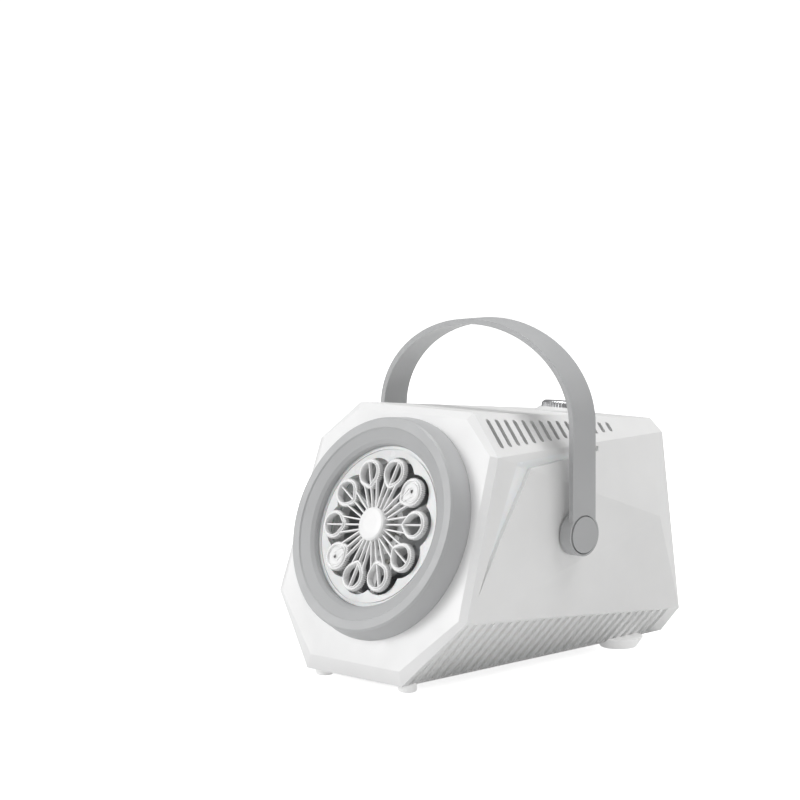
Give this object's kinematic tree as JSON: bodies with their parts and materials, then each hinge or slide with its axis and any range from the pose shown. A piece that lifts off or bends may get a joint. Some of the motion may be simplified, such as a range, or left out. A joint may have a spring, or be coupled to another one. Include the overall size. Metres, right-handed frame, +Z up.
{
  "type": "bubble machine",
  "caption": "Eight-sided tapering bubble machine with a ringed outlet on its leaning front, a wand wheel, a swinging carry handle, a top button and vented upper edges.",
  "frame": {"origin": "on the floor under the middle of the bounding box", "axes": "+Z up, -Y out of the outlet at the front, +X to the machine's left side"},
  "size_m": [0.1454, 0.2154, 0.187],
  "materials": {
    "white_plastic": "satin",
    "grey_plastic": "satin",
    "lens": "translucent",
    "guide_lens": "translucent",
    "wheel_plastic": "satin",
    "inner_plastic": "matte",
    "gear_plastic": "matte",
    "motor_steel": "satin",
    "steel": "satin",
    "button_metal": "brushed",
    "button_collar": "satin",
    "board": "matte",
    "switch_black": "matte",
    "cell": "satin",
    "contact": "satin",
    "foot_rubber": "matte",
    "port_metal": "satin"
  },
  "bodies": {
    "housing": {"front_frame": "white_plastic", "upper_housing": "white_plastic", "lower_housing": "white_plastic", "rear_cover": "white_plastic", "battery_door": "white_plastic", "outlet_ring": "grey_plastic", "light_ring": "lens", "light_guide_left": "guide_lens", "light_guide_right": "guide_lens", "wheel_bracket": "inner_plastic", "air_duct": "inner_plastic", "fan_housing": "inner_plastic", "gearbox_case": "inner_plastic", "battery_box": "inner_plastic", "solution_tank": "inner_plastic", "tank_lid": "inner_plastic", "wheel_motor": "motor_steel", "fan_motor": "motor_steel", "case_screws": "steel", "door_screw": "steel", "button_bezel": "button_collar", "power_switch": "switch_black", "main_board": "board", "ring_light_board": "board", "side_light_board_left": "board", "side_light_board_right": "board", "battery_cells": "cell", "battery_contacts": "contact", "usb_port": "port_metal", "front_feet": "foot_rubber", "rear_feet": "foot_rubber"},
    "carry_handle": {"handle": "grey_plastic", "pivot_pin_left": "steel", "pivot_pin_right": "steel", "pivot_cap_left": "grey_plastic", "pivot_cap_right": "grey_plastic"},
    "wheel": {"wand_wheel": "wheel_plastic", "hub_cap": "wheel_plastic", "wheel_axle": "steel", "wheel_gear": "gear_plastic"},
    "pinion": {"motor_pinion": "gear_plastic"},
    "fan": {"fan_impeller": "inner_plastic"},
    "button": {"power_button": "button_metal", "button_stem": "switch_black"}
  },
  "joints": [
    {"name": "handle_swing", "type": "hinge", "parent": "housing", "child": "carry_handle", "pos_m": [0, -0.0016, 0.0756], "axis": [1, 0, 0], "range_deg": [-50, 40]},
    {"name": "wheel_spin", "type": "hinge", "parent": "housing", "child": "wheel", "pos_m": [0, -0.07602, 0.07965], "axis": [0, -0.9455, 0.3256], "continuous": true},
    {"name": "pinion_spin", "type": "hinge", "parent": "housing", "child": "pinion", "pos_m": [0, -0.08128, 0.06438], "axis": [0, -0.9455, 0.3256], "continuous": true},
    {"name": "fan_spin", "type": "hinge", "parent": "housing", "child": "fan", "pos_m": [0, -0.04765, 0.06989], "axis": [0, -0.9455, 0.3256], "continuous": true},
    {"name": "button_press", "type": "slide", "parent": "housing", "child": "button", "axis": [0, -0.1008, -0.9949], "range_m": [0, 0.002], "stiffness_N_per_m": 400, "springref_m": -0.001}
  ],
  "couplings": [
    {"joint": "pinion_spin", "follows": "wheel_spin", "ratio": -3}
  ]
}
